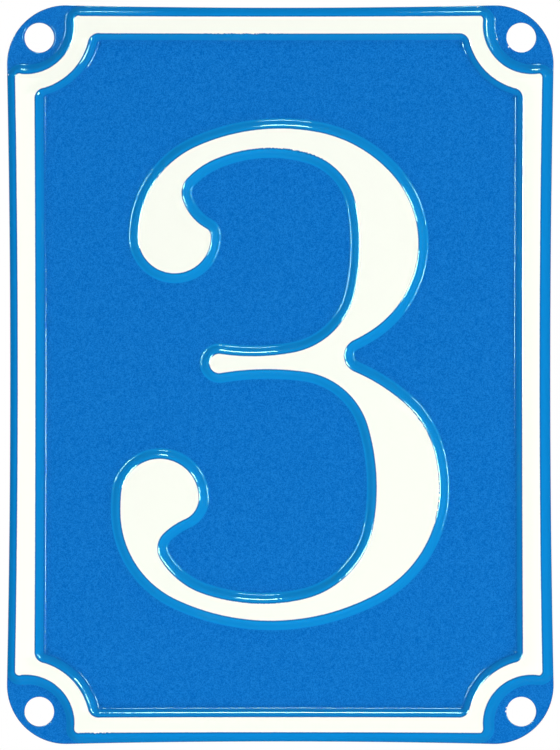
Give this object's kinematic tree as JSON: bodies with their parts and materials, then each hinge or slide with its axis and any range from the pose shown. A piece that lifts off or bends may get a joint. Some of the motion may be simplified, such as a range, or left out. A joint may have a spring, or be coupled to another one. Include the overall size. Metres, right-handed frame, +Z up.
{
  "type": "house number plaque",
  "caption": "Pressed metal house number plaque with a raised border band and a raised figure, fixed to a wall by screws through its corner ears.",
  "frame": {"origin": "middle of the four screw holes, on the back face of the ears, which lies against the wall", "axes": "+Z up the plaque, +X to the right of someone reading it, and the front faces -Y"},
  "size_m": [0.148, 0.0026, 0.2],
  "materials": {
    "blue_lacquer": "gloss blue lacquer on sheet metal",
    "white_coat": "gloss white paint rolled on the raised band and figure"
  },
  "bodies": {
    "root": {"plaque_sheet": "blue_lacquer"}
  },
  "joints": []
}
